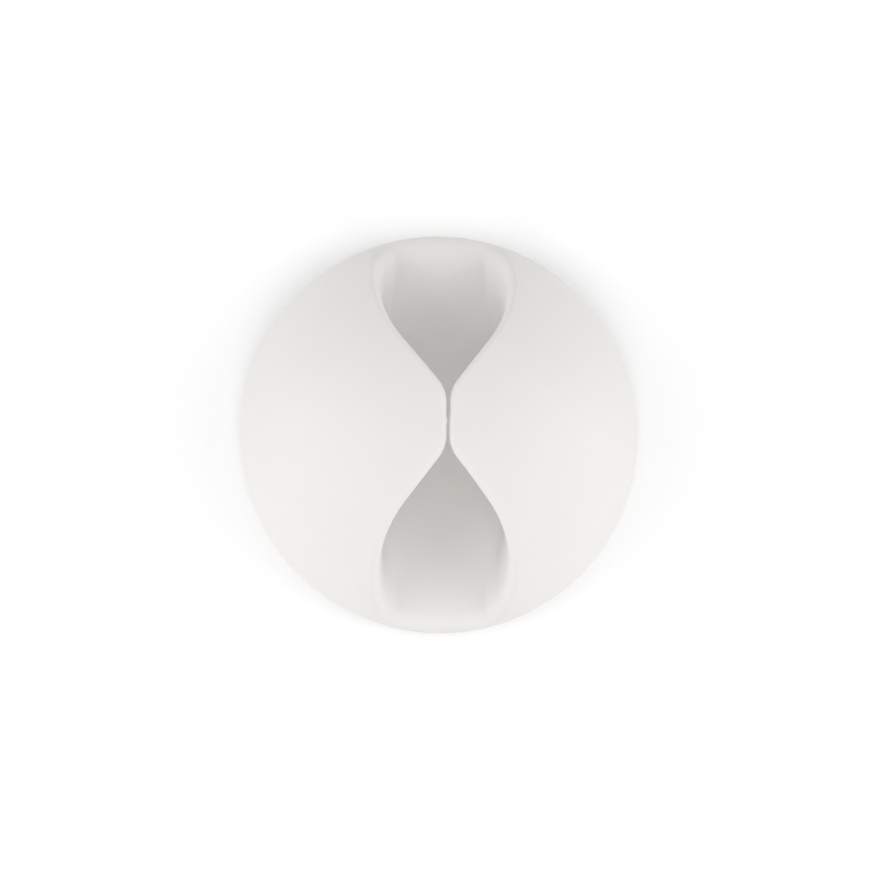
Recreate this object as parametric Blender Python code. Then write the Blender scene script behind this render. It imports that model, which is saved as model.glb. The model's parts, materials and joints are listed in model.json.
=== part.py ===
"""Self-adhesive cable clip: a soft moulded dome with a slit channel, and its foam pad.

The dome stands on +Z with its base centre at the origin. The channel runs along Y and
opens through the crown in a narrow slit, which flares into a mouth at either end.
"""

import math

import bmesh
import bpy
import numpy as np

MM = 0.001

# The dome and its lower edge
DOME_DIAMETER = 30.0 * MM
CROWN_HEIGHT = 12.0 * MM
EDGE_ROUND = 0.8 * MM

# The channel under the crown
CHANNEL_WIDTH = 9.6 * MM
FLOOR_HEIGHT = 2.2 * MM
FLOOR_CORNER = 1.0 * MM
FLOOR_RUNOUT = 1.5 * MM
ARCH_SPRING = 6.1 * MM

# The slit between the lips and the flare at its ends
SLIT_WIDTH = 0.24 * MM
SLIT_LENGTH = 2.3 * MM
SLIT_ENTRY_RADIUS = 2.85 * MM
FLARE_ANGLE = math.radians(38.0)
FLARE_EXIT_RADIUS = 8.2 * MM

# The rolled edges: tight on the lips, a little broader along the open walls
LIP_ROUND = 0.42 * MM
WALL_ROUND = 0.5 * MM
ROUND_EASE_LENGTH = 3.2 * MM

# Where along the channel its open walls begin to lean back into a ramp, and how far
# from the middle the ramp meets the floor
RAMP_START = 6.2 * MM
RAMP_FOOT = 3.2 * MM

# The foam pad and its seat in the underside
PAD_DIAMETER = 25.4 * MM
PAD_THICKNESS = 0.8 * MM
PAD_EDGE_BREAK = 0.1 * MM
PAD_STAND = 0.4 * MM
PAD_CLEARANCE = 0.3 * MM

# How finely the surfaces are divided. Points crowd where a line turns: a turn of one
# radian takes as many as TURN_WEIGHT of length does. A section's end on the rim stays
# behind its end on the rolled edge, by RIM_LEAD where it is fully bowed.
DOME_SPANS = 10
INNER_SPANS = 32
EDGE_SPANS = 3
PAD_SIDES = 64
TURN_WEIGHT = 1.1 * MM
RIM_LEAD = math.radians(7.0)
SMOOTH_ANGLE = math.radians(40.0)
MERGE_DISTANCE = 0.002 * MM

# Sections along the slit's entry, the flare, its exit, the open wall and the floor's end
ENTRY_ROWS = 4
FLARE_ROWS = 3
EXIT_ROWS = 5
WALL_ROWS = 6
RUNOUT_ROWS = 4

# Points of a section's rounds before they are thinned, and steps to seat the rolled edge
ROLL_POINTS = 24
SIDE_POINTS = 48
CORNER_POINTS = 12
SEATING_STEPS = 40

# What follows from the sizes above
RIM_RADIUS = DOME_DIAMETER / 2
RIM_HEIGHT = PAD_STAND + EDGE_ROUND
RUNOUT_START = RIM_RADIUS - FLOOR_RUNOUT
WALL_X = CHANNEL_WIDTH / 2
EDGE_CENTRE = RIM_RADIUS - EDGE_ROUND
DOME_RISE = CROWN_HEIGHT - RIM_HEIGHT
SPHERE_RADIUS = (EDGE_CENTRE**2 + DOME_RISE**2 - EDGE_ROUND**2) / (2 * (DOME_RISE - EDGE_ROUND))
SPHERE_CENTRE = CROWN_HEIGHT - SPHERE_RADIUS
SPHERE_REACH = SPHERE_RADIUS * EDGE_CENTRE / (SPHERE_RADIUS - EDGE_ROUND)
SEAT_RADIUS = PAD_DIAMETER / 2 + PAD_CLEARANCE
SEAT_HEIGHT = PAD_THICKNESS + PAD_CLEARANCE

# The outline of the slit, seen from above: half gap and distance along the channel
ENTRY_END_X = SLIT_WIDTH / 2 + SLIT_ENTRY_RADIUS * (1 - math.cos(FLARE_ANGLE))
ENTRY_END_Y = SLIT_LENGTH / 2 + SLIT_ENTRY_RADIUS * math.sin(FLARE_ANGLE)
EXIT_START_X = WALL_X - FLARE_EXIT_RADIUS * (1 - math.cos(FLARE_ANGLE))
EXIT_START_Y = ENTRY_END_Y + (EXIT_START_X - ENTRY_END_X) / math.tan(FLARE_ANGLE)
FLARE_END_Y = EXIT_START_Y + FLARE_EXIT_RADIUS * math.sin(FLARE_ANGLE)


def ease(value, low, high):
    """A smooth step from 0 at low to 1 at high."""
    t = min(max((value - low) / (high - low), 0.0), 1.0)
    return t * t * (3 - 2 * t)


def dome_height(radius):
    """Height of the outer surface: a sphere that ends in the round of the lower edge."""
    if radius < SPHERE_REACH:
        return SPHERE_CENTRE + math.sqrt(SPHERE_RADIUS**2 - radius**2)
    return RIM_HEIGHT + math.sqrt(max(EDGE_ROUND**2 - (radius - EDGE_CENTRE) ** 2, 0.0))


def floor_height(radius):
    """Height of the channel's floor, which rolls over into the rim at either end."""
    past = max(radius - RUNOUT_START, 0.0) / FLOOR_RUNOUT
    return RIM_HEIGHT + (FLOOR_HEIGHT - RIM_HEIGHT) * math.sqrt(max(1 - past**2, 0.0))


def half_gap(along):
    """Half the opening between the lips: slit, entry arc, straight flare, exit arc, wall."""
    if along < SLIT_LENGTH / 2:
        return SLIT_WIDTH / 2
    if along < ENTRY_END_Y:
        reach = math.sqrt(SLIT_ENTRY_RADIUS**2 - (along - SLIT_LENGTH / 2) ** 2)
        return SLIT_WIDTH / 2 + SLIT_ENTRY_RADIUS - reach
    if along < EXIT_START_Y:
        return ENTRY_END_X + (along - ENTRY_END_Y) * math.tan(FLARE_ANGLE)
    if along < FLARE_END_Y:
        reach = math.sqrt(FLARE_EXIT_RADIUS**2 - (FLARE_END_Y - along) ** 2)
        return WALL_X - FLARE_EXIT_RADIUS + reach
    return WALL_X


def edge_round(along):
    """Radius of the rolled edge, which broadens where the lips run out into the walls."""
    broad = ease(along, FLARE_END_Y - ROUND_EASE_LENGTH, FLARE_END_Y)
    return LIP_ROUND + (WALL_ROUND - LIP_ROUND) * broad


def stations():
    """Distances along the channel at which a section is drawn, closer where it bends."""
    entry_turns = np.linspace(0.0, FLARE_ANGLE, ENTRY_ROWS + 1)[1:]
    runout_turns = np.linspace(0.0, math.pi / 2, RUNOUT_ROWS + 1)[1:]
    found = [0.0, SLIT_LENGTH / 2]
    found += [SLIT_LENGTH / 2 + SLIT_ENTRY_RADIUS * math.sin(turn) for turn in entry_turns]
    found += list(np.linspace(ENTRY_END_Y, EXIT_START_Y, FLARE_ROWS + 1)[1:])
    found += list(np.linspace(EXIT_START_Y, FLARE_END_Y, EXIT_ROWS + 1)[1:])
    found += list(np.linspace(FLARE_END_Y, RUNOUT_START, WALL_ROWS + 1)[1:])
    found += [RUNOUT_START + FLOOR_RUNOUT * math.sin(turn) for turn in runout_turns]
    return found


def arc(centre, radius, start, end, spans):
    """Points on an arc, from one angle to another."""
    angles = np.linspace(start, end, spans + 1)
    return [(centre[0] + radius * math.cos(a), centre[1] + radius * math.sin(a)) for a in angles]


def spread(points, spans):
    """A dense line thinned to a number of spans, shorter where the line turns."""
    line = np.array(points)
    steps = np.diff(line, axis=0)
    lengths = np.hypot(steps[:, 0], steps[:, 1])
    keep = np.concatenate(([True], lengths > MERGE_DISTANCE / 100))
    line = line[keep]
    steps = np.diff(line, axis=0)
    headings = np.unwrap(np.arctan2(steps[:, 1], steps[:, 0]))
    turns = np.concatenate(([0.0], np.abs(np.diff(headings))))
    measure = np.concatenate(([0.0], np.cumsum(np.hypot(*steps.T) + TURN_WEIGHT * turns)))
    wanted = np.linspace(0.0, measure[-1], spans + 1)
    across = np.interp(wanted, measure, line[:, 0])
    upward = np.interp(wanted, measure, line[:, 1])
    return [(float(x), float(h)) for x, h in zip(across, upward)]


def lip_side(centre, size, spring, arch_turn):
    """Underside of the lip and wall under it, down to the corner at the floor.

    The underside swings round the channel's own centre, drops down the wall, and eases on
    the way from where the rolled edge left it to the wall's own place.
    """
    start_reach = math.hypot(centre[0], centre[1] - spring) - size
    arch_length = WALL_X * arch_turn
    length = arch_length + max(spring - FLOOR_CORNER, 0.0)
    line = []
    for t in np.linspace(0.0, 1.0, SIDE_POINTS + 1)[1:]:
        reach = WALL_X + (start_reach - WALL_X) * (1 - ease(t, 0.0, 1.0))
        turn = max(arch_turn - length * t / WALL_X, 0.0)
        drop = max(length * t - arch_length, 0.0)
        line.append((reach * math.cos(turn), spring + reach * math.sin(turn) - drop))
    return line


def ramp(line, start, end, share):
    """Lean a line towards a soft ramp from one point down to another, by a share of the way."""
    leaning = []
    for t, (x, h) in zip(np.linspace(0.0, 1.0, 2 * INNER_SPANS + 1), spread(line, 2 * INNER_SPANS)):
        ramp_x = start[0] + (end[0] - start[0]) * t
        ramp_h = start[1] + (end[1] - start[1]) * ease(t, 0.0, 1.0)
        leaning.append((x + (ramp_x - x) * share, h + (ramp_h - h) * share))
    return leaning


class Section:
    """One cross-section of half the clip, from the dome's rim to the channel's middle.

    Over the lips it lies at one distance along the channel. Past them it bows, until the
    last one follows the rim itself. From the ramp's start on, its wall leans back more and
    more, and is a plain ramp where the floor begins to roll over into the rim.
    """

    def __init__(self, along):
        self.along = along
        self.bow = ease(along, FLARE_END_Y, RIM_RADIUS)
        self.ramp_share = ease(along, RAMP_START, RUNOUT_START)

    def y(self, x):
        return math.sqrt(max(self.along**2 - self.bow * x**2, 0.0))

    def radius(self, x):
        return min(math.hypot(x, self.y(x)), RIM_RADIUS)

    def dome(self, x):
        return dome_height(self.radius(x))

    def seat_round(self, edge_x, size):
        """Where a round of this size leaves the dome, so that it just reaches edge_x."""
        touch = edge_x + size
        step = MERGE_DISTANCE
        for _ in range(SEATING_STEPS):
            slope = (self.dome(touch + step) - self.dome(touch - step)) / (2 * step)
            lean = -slope / math.hypot(1.0, slope)
            touch = edge_x + size * (1 + lean)
        return touch, lean

    def inner_line(self):
        """Rolled edge, underside of the lip, wall, corner and floor, as heights over the floor."""
        edge_x = half_gap(self.along)
        size = edge_round(self.along)
        touch, lean = self.seat_round(edge_x, size)
        touch_height = self.dome(touch) - floor_height(self.radius(touch))
        centre = (edge_x + size, touch_height - size * math.sqrt(1 - lean**2))
        spring = min(ARCH_SPRING - FLOOR_HEIGHT, centre[1])
        arch_turn = math.atan2(centre[1] - spring, centre[0])
        line = arc(centre, size, math.acos(lean), math.pi + arch_turn, ROLL_POINTS)
        line += lip_side(centre, size, spring, arch_turn)

        # Where the wall has become too low for both rounds, they flatten with it.
        corner_height = FLOOR_CORNER
        lowest = centre[1] - FLOOR_CORNER
        if lowest < 0:
            squeeze = touch_height / (touch_height - lowest)
            line = [(x, touch_height - squeeze * (touch_height - h)) for x, h in line]
            corner_height *= squeeze
        foot = WALL_X - FLOOR_CORNER
        for x, h in arc((0.0, 1.0), 1.0, 0.0, -math.pi / 2, CORNER_POINTS):
            line.append((foot + x * FLOOR_CORNER, h * corner_height))

        line = ramp(line, (touch, touch_height), (min(RAMP_FOOT, foot), 0.0), self.ramp_share)
        return touch, line + [(0.0, 0.0)]

    def points(self):
        """The whole half section as points in space."""
        touch, line = self.inner_line()
        inner = []
        for x, h in spread(line, INNER_SPANS):
            inner.append((x, self.y(x), floor_height(self.radius(x)) + h))
        touch_y = self.y(touch)
        rim_turn = math.asin(min(touch_y / RIM_RADIUS, 1.0)) - self.bow * RIM_LEAD
        rim = (RIM_RADIUS * math.cos(rim_turn), RIM_RADIUS * math.sin(rim_turn))
        full_turn = math.asin(RIM_RADIUS / SPHERE_RADIUS)
        outer = []
        for k in range(DOME_SPANS):
            t = 1 - math.sin((1 - k / DOME_SPANS) * full_turn) / math.sin(full_turn)
            x = rim[0] + (touch - rim[0]) * t
            y = rim[1] + (touch_y - rim[1]) * t
            bowed = RIM_RADIUS + (self.radius(touch) - RIM_RADIUS) * t
            scale = 1 + self.bow * (bowed / math.hypot(x, y) - 1)
            radius = min(math.hypot(x, y) * scale, RIM_RADIUS)
            outer.append((x * scale, y * scale, dome_height(radius)))
        return outer + inner


def underside(point):
    """From a point on the rim: lower edge round, land, seat wall and seat ceiling."""
    turn = math.atan2(point[1], point[0])
    profile = arc((EDGE_CENTRE, RIM_HEIGHT), EDGE_ROUND, 0.0, -math.pi / 2, EDGE_SPANS)
    profile += [(SEAT_RADIUS, PAD_STAND), (SEAT_RADIUS, SEAT_HEIGHT), (0.0, SEAT_HEIGHT)]
    line = [point]
    for radius, height in profile[1:]:
        line.append((radius * math.cos(turn), radius * math.sin(turn), height))
    return line


def skin(bm, rows):
    """Stretch faces between neighbouring rows of points."""
    grid = [[bm.verts.new(p) for p in row] for row in rows]
    for row, following in zip(grid, grid[1:]):
        for k in range(len(row) - 1):
            bm.faces.new((row[k], following[k], following[k + 1], row[k + 1]))


def finish(name, bm, material):
    """Weld, shade and link a finished mesh."""
    bmesh.ops.remove_doubles(bm, verts=bm.verts, dist=MERGE_DISTANCE)
    mesh = bpy.data.meshes.new(name)
    bm.to_mesh(mesh)
    bm.free()
    mesh.shade_smooth()
    mesh.set_sharp_from_angle(angle=SMOOTH_ANGLE)
    mesh.materials.append(material)
    piece = bpy.data.objects.new(name, mesh)
    bpy.context.scene.collection.objects.link(piece)
    return piece


def surface(name, colour, roughness):
    """A plain non-metallic finish."""
    material = bpy.data.materials.new(name)
    material.use_nodes = True
    shader = material.node_tree.nodes["Principled BSDF"]
    shader.inputs["Base Color"].default_value = (*colour, 1.0)
    shader.inputs["Roughness"].default_value = roughness
    shader.inputs["Metallic"].default_value = 0.0
    return material


def make_clip_body():
    """The moulded body: one quarter is lofted and mirrored across both middle planes."""
    bm = bmesh.new()
    rows = [Section(along).points() for along in stations()]
    skin(bm, rows)
    rim = [row[0] for row in rows[:-1]] + rows[-1]
    skin(bm, [underside(point) for point in reversed(rim)])
    body = finish("clip_body", bm, surface("soft_white_rubber", (0.84, 0.83, 0.81), 0.6))
    mirror = body.modifiers.new("both halves", "MIRROR")
    mirror.use_axis = (True, True, False)
    mirror.merge_threshold = MERGE_DISTANCE
    return body


def make_adhesive_pad():
    """The round foam pad that stands a little proud of the body's underside."""
    bm = bmesh.new()
    outer = PAD_DIAMETER / 2
    inner = outer - PAD_EDGE_BREAK
    profile = [
        (0.0, 0.0),
        (inner, 0.0),
        (outer, PAD_EDGE_BREAK),
        (outer, PAD_THICKNESS - PAD_EDGE_BREAK),
        (inner, PAD_THICKNESS),
        (0.0, PAD_THICKNESS),
    ]
    rows = []
    for k in range(PAD_SIDES + 1):
        turn = 2 * math.pi * k / PAD_SIDES
        rows.append([(r * math.cos(turn), r * math.sin(turn), z) for r, z in profile])
    skin(bm, rows)
    return finish("adhesive_pad", bm, surface("pale_grey_foam", (0.62, 0.62, 0.60), 0.9))


def main():
    for existing in list(bpy.data.objects):
        bpy.data.objects.remove(existing, do_unlink=True)
    make_clip_body()
    make_adhesive_pad()


main()
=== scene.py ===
# %% [markdown]
# # A soft cable clip, dressed for its picture
#
# The object is a small self-adhesive clip: one soft moulded dome with a channel through it,
# and a round foam pad in its underside. The dome opens along its crown in a narrow slit.
# What it holds is pushed in through the slit, and leaves through the mouths at both ends.
#
# The frame holds the solids, their place and their size. This script never moves them. It
# puts a finer skin of the same shape over each, gives it a finish, and lights it.

# %% Load the frame and keep its box
import math
import json

import bmesh
import bpy
from mathutils import Matrix, Vector, noise

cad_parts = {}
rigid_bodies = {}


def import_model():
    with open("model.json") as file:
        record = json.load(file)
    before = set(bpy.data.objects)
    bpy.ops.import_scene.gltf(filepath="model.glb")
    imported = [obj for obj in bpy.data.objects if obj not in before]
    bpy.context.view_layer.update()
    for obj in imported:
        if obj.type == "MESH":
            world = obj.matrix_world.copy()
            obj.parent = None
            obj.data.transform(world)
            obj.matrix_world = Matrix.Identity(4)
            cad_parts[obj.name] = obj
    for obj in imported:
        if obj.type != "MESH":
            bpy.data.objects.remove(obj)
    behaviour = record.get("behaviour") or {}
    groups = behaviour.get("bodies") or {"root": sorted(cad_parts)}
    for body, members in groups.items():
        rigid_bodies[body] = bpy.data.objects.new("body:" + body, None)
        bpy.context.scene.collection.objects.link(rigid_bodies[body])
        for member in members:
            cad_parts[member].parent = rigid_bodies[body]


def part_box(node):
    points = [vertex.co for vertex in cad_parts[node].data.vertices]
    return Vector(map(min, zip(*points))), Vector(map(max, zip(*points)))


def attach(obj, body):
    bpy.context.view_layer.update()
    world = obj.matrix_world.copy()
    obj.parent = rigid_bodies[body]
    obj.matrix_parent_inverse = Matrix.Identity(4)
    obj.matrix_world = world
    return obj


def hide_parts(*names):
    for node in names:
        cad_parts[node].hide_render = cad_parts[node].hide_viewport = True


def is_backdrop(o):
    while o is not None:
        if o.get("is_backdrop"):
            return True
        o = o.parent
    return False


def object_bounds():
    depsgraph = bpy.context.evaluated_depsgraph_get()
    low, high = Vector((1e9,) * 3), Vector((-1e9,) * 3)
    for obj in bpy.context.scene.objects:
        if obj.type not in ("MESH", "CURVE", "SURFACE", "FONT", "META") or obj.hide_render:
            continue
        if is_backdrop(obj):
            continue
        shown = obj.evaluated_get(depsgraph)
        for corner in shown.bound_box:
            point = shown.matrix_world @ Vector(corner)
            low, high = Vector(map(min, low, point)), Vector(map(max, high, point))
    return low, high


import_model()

MM = 0.001
frame_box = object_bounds()

# %% [markdown]
# ## The sizes
#
# A moulder's drawing of this clip would show few sizes: the dome, the channel, the plan of
# the slit and the rounds of its edges. They are the same ones as in the solid model, so the
# skin made here lies on that solid. The last two are in no drawing: they are chance marks
# of the lips, and only the skin has them.

# %% Sizes of the dome, the channel, the slit, the recess and the lips' marks
SIZES = {
    "Dome Diameter": 30.0 * MM,
    "Crown Height": 12.0 * MM,
    "Edge Round": 0.8 * MM,
    "Channel Width": 9.6 * MM,
    "Floor Height": 2.2 * MM,
    "Floor Corner": 1.0 * MM,
    "Floor Run-out": 1.5 * MM,
    "Arch Spring": 6.1 * MM,
    "Slit Width": 0.24 * MM,
    "Slit Length": 2.3 * MM,
    "Entry Radius": 2.85 * MM,
    "Flare Angle": math.radians(38.0),
    "Exit Radius": 8.2 * MM,
    "Lip Round": 0.42 * MM,
    "Wall Round": 0.5 * MM,
    "Round Ease": 3.2 * MM,
    "Ramp Start": 6.2 * MM,
    "Ramp Foot": 3.2 * MM,
    "Pad Stand": 0.4 * MM,
    "Seat Radius": 13.0 * MM,
    "Seat Height": 1.1 * MM,
    "Lip Step": 0.08 * MM,
    "Nub": 0.1 * MM,
}
pad_low, pad_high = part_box("adhesive_pad")
PAD_RADIUS = (pad_high.x - pad_low.x) / 2
PAD_THICKNESS = pad_high.z - pad_low.z
print("pad:", round(PAD_RADIUS / MM, 2), "mm radius,", round(PAD_THICKNESS / MM, 2), "mm thick")

# %% [markdown]
# ## The camera
#
# The picture looks almost straight down on the clip, from a little towards its front left.
# A long lens at some distance keeps the rim close to a true circle. The lens is worked out
# from how wide the rim is to be in the frame, and the camera is slid sideways until the rim's
# middle has its place.

# %% Camera over the front left, nearly overhead
FRAME_PIXELS = 880
RIM_CENTRE_PIXEL = (439.5, 434.0)
RIM_RADIUS_PIXELS = 199.5
CAMERA_AZIMUTH = math.radians(-29.4)
CAMERA_ELEVATION = math.radians(82.7)
CAMERA_ROLL = math.radians(-0.14)
CAMERA_DISTANCE = 350 * MM

rim_radius = SIZES["Dome Diameter"] / 2
rim_centre = Vector((0.0, 0.0, SIZES["Pad Stand"] + SIZES["Edge Round"]))
back = Vector((
    math.sin(CAMERA_AZIMUTH) * math.cos(CAMERA_ELEVATION),
    -math.cos(CAMERA_AZIMUTH) * math.cos(CAMERA_ELEVATION),
    math.sin(CAMERA_ELEVATION),
))
up = Matrix.Rotation(CAMERA_ROLL, 3, back) @ (Vector((0, 1, 0)) - back * back.y).normalized()
right = up.cross(back)
pixel = rim_radius / RIM_RADIUS_PIXELS
slide_right = (FRAME_PIXELS / 2 - RIM_CENTRE_PIXEL[0]) * pixel
slide_up = (RIM_CENTRE_PIXEL[1] - FRAME_PIXELS / 2) * pixel
aim = rim_centre + right * slide_right + up * slide_up
print("aim:", [round(part / MM, 3) for part in aim], "mm")

# %% A lens that makes the rim as wide as it should be
SENSOR_WIDTH_MM = 36.0
NEAREST_SEEN = 10 * MM
FARTHEST_SEEN = 20000 * MM

camera_data = bpy.data.cameras.new("camera")
camera_data.sensor_width = SENSOR_WIDTH_MM
camera_data.lens = CAMERA_DISTANCE / (FRAME_PIXELS * pixel) * SENSOR_WIDTH_MM
camera_data.clip_start = NEAREST_SEEN
camera_data.clip_end = FARTHEST_SEEN
camera = bpy.data.objects.new("camera", camera_data)
facing = Matrix((right, up, back)).transposed().to_4x4()
camera.matrix_world = Matrix.Translation(aim + back * CAMERA_DISTANCE) @ facing
bpy.context.scene.collection.objects.link(camera)
bpy.context.scene.camera = camera
print("lens:", round(camera_data.lens, 1), "mm")

# %% [markdown]
# ## Sums written as sums
#
# Both the shape and the finishes are made of nodes, and most of those nodes do plain
# arithmetic. A long chain of Math nodes is hard to read back. So a small class wraps a node's
# output, and an expression such as `1 - mask * 2` adds the nodes for it. The same Math node
# serves geometry trees and shader trees, so one class is enough.

# %% A value that varies, and the sums on it
class Value:
    """One output of a node. Plain operators on it add the Math nodes that they need."""

    def __init__(self, graph, socket):
        self.graph = graph
        self.socket = socket

    def math(self, operation, *values):
        return self.graph.add("ShaderNodeMath", {"operation": operation}, dict(enumerate(values)))

    def __add__(self, other):
        return self.math("ADD", self, other)

    def __radd__(self, other):
        return self.math("ADD", other, self)

    def __sub__(self, other):
        return self.math("SUBTRACT", self, other)

    def __rsub__(self, other):
        return self.math("SUBTRACT", other, self)

    def __mul__(self, other):
        return self.math("MULTIPLY", self, other)

    def __rmul__(self, other):
        return self.math("MULTIPLY", other, self)

    def __truediv__(self, other):
        return self.math("DIVIDE", self, other)

    def __rtruediv__(self, other):
        return self.math("DIVIDE", other, self)

    def __pow__(self, other):
        return self.math("POWER", self, other)

    def __gt__(self, other):
        return self.math("GREATER_THAN", self, other)

    def __lt__(self, other):
        return self.math("LESS_THAN", self, other)

    def root(self):
        return self.math("SQRT", self)

    def at_least(self, other):
        return self.math("MAXIMUM", self, other)

    def at_most(self, other):
        return self.math("MINIMUM", self, other)

    def output(self, name):
        """Another output of the same node."""
        return Value(self.graph, self.socket.node.outputs[name])


# %% Curves and blends of such values
def sine(value):
    return value.math("SINE", value)


def cosine(value):
    return value.math("COSINE", value)


def ease(value, low, high):
    """A smooth step from 0 at low to 1 at high."""
    t = ((value - low) / (high - low)).at_least(0.0).at_most(1.0)
    return t * t * (3 - 2 * t)


def between(mask, first, second):
    """The first value where the mask is 0, the second where it is 1."""
    return first + (second - first) * mask


# %% A node tree and the one way to add to it
class Graph:
    """A node tree. Its one method adds a node of any type."""

    def __init__(self, tree):
        self.tree = tree

    def add(self, kind, settings=None, sockets=None):
        """Settings come first, because they decide which sockets the node shows."""
        node = self.tree.nodes.new(kind)
        for name, setting in (settings or {}).items():
            setattr(node, name, setting)
        for key, given in (sockets or {}).items():
            shown = [s for s in node.inputs if s.enabled]
            socket = shown[key] if isinstance(key, int) else next(s for s in shown if s.name == key)
            for one in given if isinstance(given, list) else [given]:
                if isinstance(one, Value):
                    self.tree.links.new(one.socket, socket)
                else:
                    socket.default_value = one
        shown = [s for s in node.outputs if s.enabled]
        return Value(self, shown[0]) if shown else None


# %% [markdown]
# ## The moulded body: a rule, not a sculpture
#
# On the real clip the lips, the mouths and the channel flow into each other without an edge,
# as the mould was milled that way. It could be sculpted, or cut with Booleans and bevelled,
# but a bevel fails where the lip thins out into the rim. The shape does follow a rule,
# though: each place along the channel has one cross-section, made of a dome line, a rolled
# edge, a side, a corner and a floor. The side is the lip's underside and the wall below it.
# Geometry Nodes can draw such a rule. Five plain grids are laid out, one for each stretch of
# the section, and every point finds its place by the rule. One quarter is drawn, and
# mirrored twice.

# %% The tree's named sizes
body_tree = bpy.data.node_groups.new("moulded body", "GeometryNodeTree")
body_tree.interface.new_socket("Geometry", in_out="OUTPUT", socket_type="NodeSocketGeometry")
body_tree.interface.new_socket("Geometry", in_out="INPUT", socket_type="NodeSocketGeometry")
for name, usual in SIZES.items():
    entry = body_tree.interface.new_socket(name, in_out="INPUT", socket_type="NodeSocketFloat")
    entry.default_value = usual
body_tree.interface.new_socket("Rows", in_out="INPUT", socket_type="NodeSocketInt")

body = Graph(body_tree)
group_input = body_tree.nodes.new("NodeGroupInput")
size = {s.name: Value(body, s) for s in group_input.outputs if s.name}
print("named inputs:", len(size))

# %% What follows from the sizes
rim = size["Dome Diameter"] / 2
rim_height = size["Pad Stand"] + size["Edge Round"]
wall_x = size["Channel Width"] / 2
edge_centre = rim - size["Edge Round"]
rise = size["Crown Height"] - rim_height
sphere = (
    (edge_centre * edge_centre + rise * rise - size["Edge Round"] * size["Edge Round"])
    / (2 * (rise - size["Edge Round"]))
)
sphere_middle = size["Crown Height"] - sphere
sphere_reach = sphere * edge_centre / (sphere - size["Edge Round"])
print("sums so far:", len(body_tree.nodes), "nodes")

# %% [markdown]
# Every grid is one unit wide. Across it runs `u`, the way along a stretch of the section, and
# up it runs `v`, which picks the section. Rows lie evenly along the channel, and crowd
# together at its very end, where the floor rolls over into the rim.

# %% Where each row of points lies along the channel
RUNOUT_SHARE = 0.14

place = body.add("ShaderNodeSeparateXYZ", sockets={0: body.add("GeometryNodeInputPosition")})
u = place + 0.5
v = place.output("Y") + 0.5
runout_start = rim - size["Floor Run-out"]
inland = (v / (1 - RUNOUT_SHARE)).at_most(1.0)
last_stretch = ((v - (1 - RUNOUT_SHARE)) / RUNOUT_SHARE).at_least(0.0)
along = inland * runout_start + size["Floor Run-out"] * sine(last_stretch * (math.pi / 2))
print(f"rows on the floor's run-out: {RUNOUT_SHARE:.0%}")

# %% [markdown]
# The plan of the slit is a straight, an arc that opens it, a straight flare and an arc that
# brings it parallel to the walls. Each stretch adds its own share to the half gap, so no
# switch is needed: past its end a stretch just stops growing.

# %% Half the gap between the lips
flare_sine = sine(size["Flare Angle"])
flare_cosine = cosine(size["Flare Angle"])
flare_slope = flare_sine / flare_cosine
half_slit = size["Slit Width"] / 2
entry_start = size["Slit Length"] / 2
entry_end = entry_start + size["Entry Radius"] * flare_sine
entry_gap = half_slit + size["Entry Radius"] * (1 - flare_cosine)
exit_gap = wall_x - size["Exit Radius"] * (1 - flare_cosine)
exit_start = entry_end + (exit_gap - entry_gap) / flare_slope
flare_end = exit_start + size["Exit Radius"] * flare_sine

on_entry = (along - entry_start).at_least(0.0).at_most(size["Entry Radius"] * flare_sine)
on_flare = (along - entry_end).at_least(0.0).at_most(exit_start - entry_end)
on_exit = (along - exit_start).at_least(0.0).at_most(size["Exit Radius"] * flare_sine)
to_end = size["Exit Radius"] * flare_sine - on_exit
entry_reach = (size["Entry Radius"] * size["Entry Radius"] - on_entry * on_entry).root()
exit_reach = (size["Exit Radius"] * size["Exit Radius"] - to_end * to_end).root()
half_gap = (
    half_slit
    + (size["Entry Radius"] - entry_reach)
    + on_flare * flare_slope
    + (exit_reach - size["Exit Radius"] * flare_cosine)
)
broadening = ease(along, flare_end - size["Round Ease"], flare_end)
roll = between(broadening, size["Lip Round"], size["Wall Round"])
ramp_share = ease(along, size["Ramp Start"], runout_start)
print("plan of the slit:", len(body_tree.nodes), "nodes")

# %% [markdown]
# Over the lips a section is flat. Past them it bows outwards, more and more, until the last
# one is the rim itself. That is what lets the walls fade out on a round rim.

# %% The dome, the floor and the bowed sections
bow = ease(along, flare_end, rim)


def y_at(x):
    """Place along the channel of a section's point, from its distance to the middle plane."""
    return (along * along - bow * x * x).at_least(0.0).root()


def radius_at(x):
    return (along * along + (1 - bow) * x * x).root().at_most(rim)


def dome_height(radius):
    """A sphere that ends in the round of the lower edge."""
    over = (sphere * sphere - radius * radius).at_least(0.0).root() + sphere_middle
    past = radius - edge_centre
    edge = (size["Edge Round"] * size["Edge Round"] - past * past).at_least(0.0).root() + rim_height
    return between(radius > sphere_reach, over, edge)


def floor_height(radius):
    past = (radius - runout_start).at_least(0.0) / size["Floor Run-out"]
    return rim_height + (size["Floor Height"] - rim_height) * (1 - past * past).at_least(0.0).root()


# %% [markdown]
# The rolled edge is a circle that touches the dome from inside and just reaches the slit.
# Where it touches depends on the dome's slope there, which depends on where it touches. Three
# rounds of guessing settle that to a thousandth of the roll.

# %% Seat the rolled edge under the dome
SEATING_STEPS = 3

lean = 0.0
for _ in range(SEATING_STEPS):
    touch = half_gap + roll * (1 + lean)
    drop = (sphere * sphere - along * along - (1 - bow) * touch * touch).root()
    slope = (1 - bow) * touch / drop
    lean = slope / (1 + slope * slope).root()
touch = half_gap + roll * (1 + lean)
touch_y = y_at(touch)
touch_height = dome_height(radius_at(touch)) - floor_height(radius_at(touch))

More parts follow.
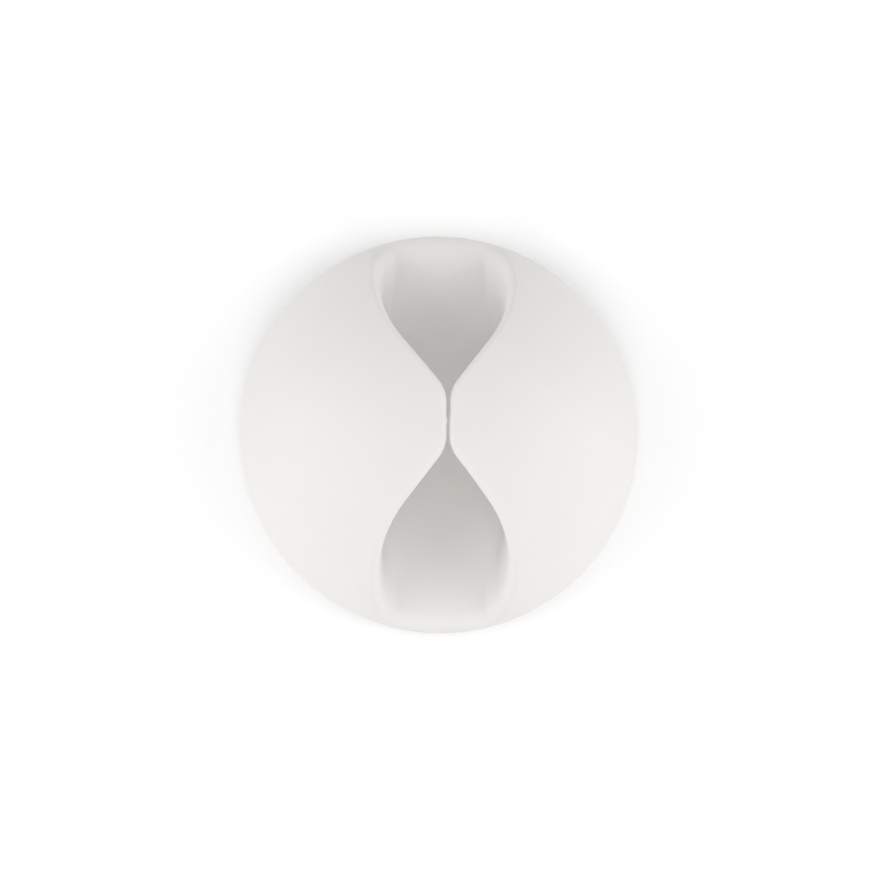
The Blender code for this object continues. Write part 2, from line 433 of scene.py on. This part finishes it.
roll_x = half_gap + roll
roll_h = touch_height - roll * (1 - lean * lean).root()
spring = (size["Arch Spring"] - size["Floor Height"]).at_most(roll_h)
arch_turn = roll_x.math("ARCTAN2", roll_h - spring, roll_x)
print("section set out:", len(body_tree.nodes), "nodes")

# %% [markdown]
# Near the rim the wall becomes too low for its rounds, and they flatten with it. The section
# also leans back there into one soft ramp, which leaves the dome along the dome's own slope
# and meets the floor level. To know how far a point is down the section, each stretch is
# measured by its length, and by how much it turns.

# %% Lengths down the section, and the flattening near the rim
TURN_WEIGHT = 1.1 * MM

foot = wall_x - size["Floor Corner"]
ramp_foot = size["Ramp Foot"].at_most(foot)
arch_length = wall_x * arch_turn
side_length = arch_length + (spring - size["Floor Corner"]).at_least(0.0)
start_reach = (roll_x * roll_x + (roll_h - spring) * (roll_h - spring)).root() - roll
start_turn = roll_x.math("ARCCOSINE", lean)
roll_turn = math.pi + arch_turn - start_turn

roll_measure = roll_turn * (roll + TURN_WEIGHT)
side_measure = side_length + arch_turn * TURN_WEIGHT
corner_measure = (size["Floor Corner"] + TURN_WEIGHT) * (math.pi / 2)
whole = roll_measure + side_measure + corner_measure
missing = (size["Floor Corner"] - roll_h).at_least(0.0)
squeeze = touch_height / (touch_height + missing)
print("lengths down the section:", len(body_tree.nodes), "nodes")


# %% One grid becomes one stretch of the surface
def patch(columns, x, y, z):
    """A grid with its points sent to their places."""
    sockets = {"Size X": 1.0, "Size Y": 1.0, "Vertices X": columns + 1, "Vertices Y": size["Rows"]}
    grid = body.add("GeometryNodeMeshGrid", sockets=sockets)
    target = body.add("ShaderNodeCombineXYZ", sockets={"X": x, "Y": y, "Z": z})
    return body.add("GeometryNodeSetPosition", sockets={"Geometry": grid, "Position": target})


def inner_patch(columns, x, height, travelled):
    """A stretch inside the mouth, leaning to the soft ramp by how far down it lies."""
    t = travelled / whole
    ramp_x = between(t, touch, ramp_foot)
    carried_on = slope * (touch - ramp_foot) * t * (1 - t) * (1 - t)
    ramp_h = touch_height * (1 - ease(t, 0.0, 1.0)) + carried_on
    lean_x = between(ramp_share, x, ramp_x)
    lean_h = between(ramp_share, height, ramp_h)
    return patch(columns, lean_x, y_at(lean_x), floor_height(radius_at(lean_x)) + lean_h)


# %% The four stretches inside the mouth
ROLL_COLUMNS = 22
SIDE_COLUMNS = 40
CORNER_COLUMNS = 10
FLOOR_COLUMNS = 14

turn = start_turn + u * roll_turn
rolled_h = roll_h + roll * sine(turn)
rolled = inner_patch(
    ROLL_COLUMNS,
    roll_x + roll * cosine(turn),
    touch_height - squeeze * (touch_height - rolled_h),
    u * roll_measure,
)

reach = between(ease(u, 0.0, 1.0), start_reach, wall_x)
swing = (arch_turn - side_length * u / wall_x).at_least(0.0)
fall = (side_length * u - arch_length).at_least(0.0)
side_h = spring + reach * sine(swing) - fall
side = inner_patch(
    SIDE_COLUMNS,
    reach * cosine(swing),
    touch_height - squeeze * (touch_height - side_h),
    roll_measure + u * side_measure,
)

corner_turn = u * (math.pi / 2)
corner = inner_patch(
    CORNER_COLUMNS,
    foot + size["Floor Corner"] * cosine(corner_turn),
    size["Floor Corner"] * squeeze * (1 - sine(corner_turn)),
    roll_measure + side_measure + u * corner_measure,
)

floor_x = between(ramp_share, foot, ramp_foot) * (1 - u)
channel_floor = patch(FLOOR_COLUMNS, floor_x, y_at(floor_x), floor_height(radius_at(floor_x)))
print("inside of the mouth:", len(body_tree.nodes), "nodes")

# %% [markdown]
# The dome's own stretch runs from the rim up to the rolled edge. Equal steps of angle on the
# sphere keep its faces square, and the steps shorten towards the rim for the small round
# there. Where the sections bow, their ends on the rim stay a little behind their ends on the
# rolled edge. Without that, the stretch would shrink to nothing on the rim itself.

# %% The dome's stretch
DOME_COLUMNS = 58
RIM_CROWDING = 1.4
RIM_LEAD = math.radians(7.0)

rim_turn = touch_y.math("ARCSINE", (touch_y / rim).at_most(1.0)) - bow * RIM_LEAD
full_turn = rim.math("ARCSINE", rim / sphere)
way = 1 - sine((1 - u**RIM_CROWDING) * full_turn) / sine(full_turn)
rib_x = between(way, rim * cosine(rim_turn), touch)
rib_y = between(way, rim * sine(rim_turn), touch_y)
rib_radius = (rib_x * rib_x + rib_y * rib_y).root()
bowed_radius = between(way, rim, radius_at(touch))
spreading = between(bow, 1.0, bowed_radius / rib_radius)
dome_z = dome_height((rib_radius * spreading).at_most(rim))
dome = patch(DOME_COLUMNS, rib_x * spreading, rib_y * spreading, dome_z)
print("with the dome:", len(body_tree.nodes), "nodes")

# %% Join the stretches and mirror them twice
MERGE_DISTANCE = 0.002 * MM


def weld(geometry):
    sockets = {"Geometry": geometry, "Distance": MERGE_DISTANCE}
    return body.add("GeometryNodeMergeByDistance", sockets=sockets)


def joined(pieces):
    """Pieces as one mesh, welded where they meet."""
    return weld(body.add("GeometryNodeJoinGeometry", sockets={"Geometry": pieces}))


def mirrored(geometry, scale):
    """The geometry with its mirror image, whose faces are flipped back outwards."""
    image = body.add("GeometryNodeTransform", sockets={"Geometry": geometry, "Scale": scale})
    image = body.add("GeometryNodeFlipFaces", sockets={"Mesh": image})
    return joined([geometry, image])


quarter = joined([dome, rolled, side, corner, channel_floor])
half = mirrored(quarter, (-1.0, 1.0, 1.0))
top = mirrored(half, (1.0, -1.0, 1.0))
print("top of the body:", len(body_tree.nodes), "nodes")

# %% [markdown]
# The top now ends in one open loop of edges, the rim. The underside is turned: that loop is
# extruded again and again, and each new loop is pulled to the next radius and height of a
# profile. The profile rounds the lower edge, crosses the narrow land, and climbs into the
# recess that the pad sits in.

# %% One more turned ring on a loop of edges
def turned_ring(mesh, selection, radius, height):
    """Extrude the selected loop, and pull the new one to a radius and a height."""
    raised = body.add(
        "GeometryNodeExtrudeMesh",
        {"mode": "EDGES"},
        {"Mesh": mesh, "Selection": selection, "Offset Scale": 0.0},
    )
    ring_x = body.add("ShaderNodeSeparateXYZ", sockets={0: body.add("GeometryNodeInputPosition")})
    ring_y = ring_x.output("Y")
    scale = radius / (ring_x * ring_x + ring_y * ring_y).root()
    sockets = {"X": ring_x * scale, "Y": ring_y * scale, "Z": height}
    target = body.add("ShaderNodeCombineXYZ", sockets=sockets)
    loop = raised.output("Top")
    sockets = {"Geometry": raised, "Selection": loop, "Position": target}
    return body.add("GeometryNodeSetPosition", sockets=sockets), loop


# %% The lower edge, the land and the recess
EDGE_STEPS = 8
SEAT_EDGE_BREAK = 0.1 * MM
# Rings on the recess's ceiling, as shares of its radius: the last one closes at the middle
CEILING_RINGS = (0.6, 0.2, 0.0)
# An edge of the open rim has one face beside it, and every other edge has two
FACES_AT_RIM = 1

faces_beside = body.add("GeometryNodeInputMeshEdgeNeighbors")
shell, loop = top, faces_beside < FACES_AT_RIM + 0.5
for step in range(1, EDGE_STEPS + 1):
    angle = math.pi / 2 * step / EDGE_STEPS
    radius = edge_centre + size["Edge Round"] * math.cos(angle)
    height = rim_height - size["Edge Round"] * math.sin(angle)
    shell, loop = turned_ring(shell, loop, radius, height)
shell, loop = turned_ring(shell, loop, size["Seat Radius"] + SEAT_EDGE_BREAK, size["Pad Stand"])
shell, loop = turned_ring(shell, loop, size["Seat Radius"], size["Pad Stand"] + SEAT_EDGE_BREAK)
shell, loop = turned_ring(shell, loop, size["Seat Radius"], size["Seat Height"])
for ring in CEILING_RINGS:
    shell, loop = turned_ring(shell, loop, size["Seat Radius"] * ring, size["Seat Height"])
shell = weld(shell)
print("with the underside:", len(body_tree.nodes), "nodes")

# %% [markdown]
# A soft moulding never closes quite evenly. On this one the right lip steps in by a hair
# along the front half of the slit, and just past the middle a tiny nub on the left lip
# almost meets it. Both could be sculpted by hand. Here they are small moves by rule, of the
# lips alone, which fade out along the mouths, so they can be set as sizes too.

# %% Let the lips close a little unevenly
LIP_REACH = 1.6 * MM
LIP_DEPTH = 3.0 * MM
NUB_PLACE = -0.2 * MM
NUB_LENGTH = 0.32 * MM
STEP_START = 0.6 * MM
STEP_END = -0.15 * MM

x = body.add("ShaderNodeSeparateXYZ", sockets={0: body.add("GeometryNodeInputPosition")})
y, z = x.output("Y"), x.output("Z")
from_slit = x.math("ABSOLUTE", x)
from_middle = y.math("ABSOLUTE", y)
on_lip = (
    (1 - ease(from_slit, 0.0, LIP_REACH))
    * ease(z, size["Crown Height"] - LIP_DEPTH, size["Crown Height"])
    * (1 - ease(from_middle, entry_start, flare_end))
)
from_nub = y.math("ABSOLUTE", y - NUB_PLACE)
nub = size["Nub"] * (1 - ease(from_nub, 0.0, NUB_LENGTH))
step_in = size["Lip Step"] * (1 - ease(y, STEP_END, STEP_START))
sideways = on_lip * between(x > 0.0, nub, 0.0 - step_in)
shift = body.add("ShaderNodeCombineXYZ", sockets={"X": sideways})
shell = body.add("GeometryNodeSetPosition", sockets={"Geometry": shell, "Offset": shift})
print("whole body:", len(body_tree.nodes), "nodes")

# %% [markdown]
# ## The finish of the body
#
# The body is a soft, rubbery moulding in warm white. It is matt, since its mould was eroded
# with sparks and never polished: that leaves a very fine, shallow grain. Flat white would
# look like plaster. What makes it look like rubber is a faint unevenness of tone, a gloss
# that differs a little from place to place, and light that creeps a short way under the
# skin at the thin lips.


# %% A new finish, and the place that its patterns read
def new_finish(name):
    """A material with its graph, its shader node and the object's own coordinates."""
    material = bpy.data.materials.new(name)
    material.use_nodes = True
    graph = Graph(material.node_tree)
    shader = material.node_tree.nodes["Principled BSDF"]
    position = graph.add("ShaderNodeTexCoord").output("Object")
    return material, graph, shader, position


def speckle(graph, position, feature, detail=2.0, crispness=0.5):
    """Noise from 0 to 1 whose lumps are about this long."""
    sockets = {"Vector": position, "Scale": 1 / feature, "Detail": detail, "Roughness": crispness}
    return graph.add("ShaderNodeTexNoise", sockets=sockets)


def blend_colours(graph, share, first, second):
    """The first colour where the share is 0, the second where it is 1."""
    settings = {"data_type": "RGBA", "blend_type": "MIX"}
    return graph.add("ShaderNodeMix", settings, {"Factor": share, "A": first, "B": second})


def connect(graph, value, shader, name):
    graph.tree.links.new(value.socket, shader.inputs[name])


# %% Warm white rubber with a spark-eroded grain
RUBBER_PALE = (0.866, 0.850, 0.836, 1.0)
RUBBER_WARM = (0.838, 0.820, 0.802, 1.0)
MOTTLE_SIZE = 5.0 * MM
MOTTLE_DETAIL = 3.0
GRAIN_SIZE = 0.11 * MM
GRAIN_CRISPNESS = 0.6
SHEEN_PATCH_SIZE = 1.6 * MM
GRAIN_DEPTH = 0.006 * MM
GRAIN_STRENGTH = 0.6
RUBBER_ROUGHNESS = 0.56
ROUGHNESS_RANGE = 0.14
RUBBER_SHINE = 0.4
GLOW_SHARE = 0.12
GLOW_REACH = 0.6 * MM
GLOW_TINT = (1.0, 0.85, 0.7)

rubber, graph, shader, position = new_finish("soft_white_rubber_skin")
mottle = speckle(graph, position, MOTTLE_SIZE, detail=MOTTLE_DETAIL)
grain = speckle(graph, position, GRAIN_SIZE, crispness=GRAIN_CRISPNESS)
patches = speckle(graph, position, SHEEN_PATCH_SIZE)
connect(graph, blend_colours(graph, mottle, RUBBER_PALE, RUBBER_WARM), shader, "Base Color")
unevenness = (patches - 0.5) + (grain - 0.5)
connect(graph, RUBBER_ROUGHNESS + unevenness * ROUGHNESS_RANGE, shader, "Roughness")
sockets = {"Strength": GRAIN_STRENGTH, "Distance": GRAIN_DEPTH, "Height": grain}
connect(graph, graph.add("ShaderNodeBump", sockets=sockets), shader, "Normal")
shader.inputs["Subsurface Weight"].default_value = GLOW_SHARE
shader.inputs["Subsurface Radius"].default_value = GLOW_TINT
shader.inputs["Subsurface Scale"].default_value = GLOW_REACH
shader.inputs["Specular IOR Level"].default_value = RUBBER_SHINE
print("finish:", rubber.name, len(rubber.node_tree.nodes), "nodes")

# %% Close the tree and make the body from it
BODY_ROWS = 96

shell = body.add("GeometryNodeSetShadeSmooth", sockets={"Geometry": shell})
shell = body.add("GeometryNodeRealizeInstances", sockets={"Geometry": shell})
shell = body.add("GeometryNodeSetMaterial", sockets={"Geometry": shell, "Material": rubber})
body.add("NodeGroupOutput", sockets={"Geometry": shell})


def made_by(tree, name, values):
    """Run a tree on an empty mesh, and keep what it makes as a plain mesh object."""
    holder = bpy.data.objects.new(name + "_holder", bpy.data.meshes.new(name))
    bpy.context.scene.collection.objects.link(holder)
    modifier = holder.modifiers.new("rule", "NODES")
    modifier.node_group = tree
    for item in tree.interface.items_tree:
        if item.in_out == "INPUT" and item.name in values:
            modifier[item.identifier] = values[item.name]
    evaluated = holder.evaluated_get(bpy.context.evaluated_depsgraph_get())
    mesh = bpy.data.meshes.new_from_object(evaluated)
    holder.modifiers.remove(modifier)
    bpy.data.objects.remove(holder)
    piece = bpy.data.objects.new(name, mesh)
    bpy.context.scene.collection.objects.link(piece)
    return piece


moulded_body = made_by(body_tree, "moulded_body", {**SIZES, "Rows": BODY_ROWS})


# %% Check that the skin is closed and faces outwards
def measure(piece):
    """Turn a closed skin's faces outwards, and say what it is made of."""
    bm = bmesh.new()
    bm.from_mesh(piece.data)
    if bm.calc_volume(signed=True) < 0:
        bmesh.ops.reverse_faces(bm, faces=bm.faces)
    open_edges = sum(1 for edge in bm.edges if not edge.is_manifold)
    triangles = sum(len(face.verts) - 2 for face in bm.faces)
    volume = bm.calc_volume(signed=True) / MM**3
    bm.to_mesh(piece.data)
    bm.free()
    print(f"{piece.name}: {triangles} triangles, {open_edges} open edges, {volume:.1f} mm3")


measure(moulded_body)
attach(moulded_body, "root")
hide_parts("clip_body")

# %% [markdown]
# ## The foam pad
#
# The pad is punched from a sheet of closed-cell foam with glue on both faces. The punch
# rounds the foam over at its edge, and the edge springs back a little uneven. A Screw
# modifier would turn such a shape, but with a perfect outline. So the pad is drawn ring by
# ring in mesh code, where each point can be moved as it is made.

# %% Half a section of the punched pad
PAD_FACE_RINGS = 14
PAD_EDGE_STEPS = 5
PAD_CORNER = 0.12 * MM
PAD_WAIST = 0.06 * MM


def pad_profile():
    """Radius and height from the middle of the lower face, round the edge, to the top."""
    flat = PAD_RADIUS - PAD_CORNER
    line = [(flat * k / PAD_FACE_RINGS, 0.0) for k in range(PAD_FACE_RINGS)]
    for k in range(PAD_EDGE_STEPS + 1):
        turn = math.pi / 2 * k / PAD_EDGE_STEPS
        line.append((flat + PAD_CORNER * math.sin(turn), PAD_CORNER * (1 - math.cos(turn))))
    wall = PAD_THICKNESS - 2 * PAD_CORNER
    for k in range(1, PAD_EDGE_STEPS):
        t = k / PAD_EDGE_STEPS
        line.append((PAD_RADIUS - PAD_WAIST * math.sin(math.pi * t), PAD_CORNER + wall * t))
    lower = line[: PAD_FACE_RINGS + PAD_EDGE_STEPS + 1]
    return line + [(radius, PAD_THICKNESS - height) for radius, height in reversed(lower)]


print("rings of the pad:", len(pad_profile()))

# %% Rings with a wandering outline
PAD_SECTORS = 240
OUTLINE_WANDER = 0.05 * MM
OUTLINE_WAVE = 1.6 * MM
# The wander dies away from the edge inwards, as this power of the radius
EDGE_POWER = 4


def make_foam_pad():
    bm = bmesh.new()
    rings = []
    for radius, height in pad_profile():
        ring = []
        for k in range(PAD_SECTORS):
            turn = 2 * math.pi * k / PAD_SECTORS
            outward = Vector((math.cos(turn), math.sin(turn), 0.0))
            level = Vector((0.0, 0.0, height))
            wander = noise.noise(outward * PAD_RADIUS / OUTLINE_WAVE + level / PAD_THICKNESS)
            near_edge = (radius / PAD_RADIUS) ** EDGE_POWER
            pulled = radius - OUTLINE_WANDER * (1 + wander) / 2 * near_edge
            ring.append(bm.verts.new(outward * pulled + level))
        rings.append(ring)
    for inner, outer in zip(rings, rings[1:]):
        for k in range(PAD_SECTORS):
            following = (k + 1) % PAD_SECTORS
            bm.faces.new((inner[k], inner[following], outer[following], outer[k]))
    bmesh.ops.remove_doubles(bm, verts=bm.verts, dist=MERGE_DISTANCE)
    bmesh.ops.recalc_face_normals(bm, faces=bm.faces)
    mesh = bpy.data.meshes.new("foam_pad")
    bm.to_mesh(mesh)
    bm.free()
    mesh.shade_smooth()
    piece = bpy.data.objects.new("foam_pad", mesh)
    bpy.context.scene.collection.objects.link(piece)
    return piece


foam_pad = make_foam_pad()
measure(foam_pad)

# %% [markdown]
# Cut foam shows its cells as tiny pits. Plain noise would give lumps without
# walls, so the cells come from a Voronoi pattern, whose value grows from the middle of each
# cell to its wall. The pits are also darkened in the colour, as painted shade. On the face
# that sticks down, glue has flowed into them: there they are shallow, their painted shade is
# lighter, and the surface shines a little.

# %% Grey foam with a film of glue, and painted shade in its pits
FOAM_LIGHT = (0.66, 0.66, 0.64, 1.0)
FOAM_PIT_SHADE = (0.46, 0.46, 0.45, 1.0)
CELL_SIZE = 0.22 * MM
CELL_DEPTH = 0.05 * MM
GLUE_DEPTH = 0.04 * MM
GLUE_FADES_BY = 3 * GLUE_DEPTH
GLUE_ROUGHNESS = 0.32
FOAM_ROUGHNESS = 0.85
CELL_ROUGHNESS_RANGE = 0.12
CELL_STRENGTH = 0.8
# How much of the cells still shows through the glue, and how much painted shade a pit gets on the
# cut edge
GLUED_CELLS = 0.35
PIT_SHADE_ON_CUT_EDGE = 0.9

foam, graph, shader, position = new_finish("pale_grey_foam_cells")
cells = graph.add("ShaderNodeTexVoronoi", sockets={"Vector": position, "Scale": 1 / CELL_SIZE})
foam_height = graph.add("ShaderNodeSeparateXYZ", sockets={"Vector": position}).output("Z")
cut_edge = ease(foam_height, GLUE_DEPTH, GLUE_FADES_BY)
# The darker base colour in the pits is painted shade. It is lighter on the face that sticks down,
# where glue fills the pits.
pit_shade_mask = 1 - cells.at_most(1.0)
tone = pit_shade_mask * between(cut_edge, GLUED_CELLS, PIT_SHADE_ON_CUT_EDGE)
connect(graph, blend_colours(graph, tone, FOAM_LIGHT, FOAM_PIT_SHADE), shader, "Base Color")
matness = between(cut_edge, GLUE_ROUGHNESS, FOAM_ROUGHNESS) + (cells - 0.5) * CELL_ROUGHNESS_RANGE
connect(graph, matness, shader, "Roughness")
relief = cells * between(cut_edge, GLUED_CELLS, 1.0)
sockets = {"Strength": CELL_STRENGTH, "Distance": CELL_DEPTH, "Height": relief}
connect(graph, graph.add("ShaderNodeBump", sockets=sockets), shader, "Normal")
foam_pad.data.materials.append(foam)
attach(foam_pad, "root")
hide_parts("adhesive_pad")
print("finish:", foam.name, len(foam.node_tree.nodes), "nodes")

# %% [markdown]
# ## The stage
#
# The clip stands on a plain pale floor in soft light. The floor looks white to the camera,
# and keeps the clip's faint shadow. Farther off, where less light falls, it glows a little
# more, so no horizon shows. For the light that bounces, it stays a normal pale floor, so it
# doesn't light the clip from below more than a table would.

# %% Plain tones, and the rays that show a thing to the eye
def grey(tone):
    return (tone, tone, tone, 1.0)


def seen_directly(graph):
    """1 for rays that show a thing to the eye: straight, mirrored or through glass."""
    ray = graph.add("ShaderNodeLightPath").output
    return (ray("Is Camera Ray") + ray("Is Glossy Ray") + ray("Is Transmission Ray")).at_most(1.0)


# %% A floor that is white only to the camera
FLOOR_TONE = 0.9
NEAR_LIFT = 0.1
FAR_LIFT = 0.5
# Distances from the clip between which the lift grows from the one to the other
LIFT_RISE = (60 * MM, 260 * MM)

paper, graph, shader, position = new_finish("pale_floor")
seen = seen_directly(graph)
connect(graph, blend_colours(graph, seen, grey(FLOOR_TONE), grey(1.0)), shader, "Base Color")
paper_x = graph.add("ShaderNodeSeparateXYZ", sockets={"Vector": position})
paper_y = paper_x.output("Y")
away = (paper_x * paper_x + paper_y * paper_y).root()
lift = between(ease(away, *LIFT_RISE), NEAR_LIFT, FAR_LIFT)
connect(graph, seen * lift, shader, "Emission Color")
shader.inputs["Emission Strength"].default_value = 1.0
shader.inputs["Roughness"].default_value = 1.0
shader.inputs["Specular IOR Level"].default_value = 0.0
print("finish:", paper.name, len(paper.node_tree.nodes), "nodes")

# %% The floor itself, a hair under the pad
FLOOR_HALF = 1500 * MM
FLOOR_DROP = 0.02 * MM

bm = bmesh.new()
corners = [(-1, -1), (1, -1), (1, 1), (-1, 1)]
bm.faces.new([bm.verts.new((FLOOR_HALF * i, FLOOR_HALF * j, -FLOOR_DROP)) for i, j in corners])
floor_mesh = bpy.data.meshes.new("floor")
bm.to_mesh(floor_mesh)
bm.free()
floor_mesh.materials.append(paper)
floor_object = bpy.data.objects.new("floor", floor_mesh)
bpy.context.scene.collection.objects.link(floor_object)
floor_object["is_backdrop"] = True
print("floor:", 2 * FLOOR_HALF, "m wide")

# %% [markdown]
# The dome is a little brighter on its flanks than on its crown, and its far side is the
# darkest. An even surround gives a little more than half of the light. The rest comes from
# soft boxes about half way up on both sides and in front, and from a low strip on either
# side, which lifts the steep flanks near the rim. No lamp stands behind the clip.

# %% An even surround
SURROUND = 0.58

world = bpy.data.worlds.new("surround")
world.use_nodes = True
graph = Graph(world.node_tree)
seen = seen_directly(graph)
sky = blend_colours(graph, seen, grey(SURROUND), grey(1.0))
connect(graph, sky, world.node_tree.nodes["Background"], "Color")
bpy.context.scene.world = world
print("surround:", SURROUND)

# %% Three soft boxes and two low strips
BOX_DISTANCE = 450 * MM
BOX_SIZE = 260 * MM
# Each by name: degrees round the clip from the near side, degrees up, and about how much
# light it throws on a face turned to it, as a share of what a white surround throws
SOFT_BOXES = {
    "left_box": (-90.0, 36.0, 0.18),
    "right_box": (90.0, 36.0, 0.18),
    "left_strip": (-90.0, 10.0, 0.2),
    "right_strip": (90.0, 10.0, 0.2),
    "near_box": (0.0, 42.0, 0.19),
}

for name, (azimuth, elevation, share) in SOFT_BOXES.items():
    around, tilt = math.radians(azimuth), math.radians(elevation)
    direction = Vector((
        math.sin(around) * math.cos(tilt),
        -math.cos(around) * math.cos(tilt),
        math.sin(tilt),
    ))
    lamp_data = bpy.data.lights.new(name, "AREA")
    lamp_data.size = BOX_SIZE
    lamp_data.energy = share * math.pi**2 * BOX_DISTANCE**2
    lamp = bpy.data.objects.new(name, lamp_data)
    lamp.location = direction * BOX_DISTANCE
    lamp.rotation_euler = direction.to_track_quat("Z", "Y").to_euler()
    bpy.context.scene.collection.objects.link(lamp)
    print(f"{name}: {lamp_data.energy:.2f} W")

bpy.context.scene.view_settings.view_transform = "Standard"

# %% Compare the dressed clip with the frame, and finish
boxes = {
    "frame": [list(corner) for corner in frame_box],
    "visual": [list(corner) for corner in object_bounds()],
}
for name, (low, high) in boxes.items():
    print(name, [round((b - a) / MM, 3) for a, b in zip(low, high)], "mm")
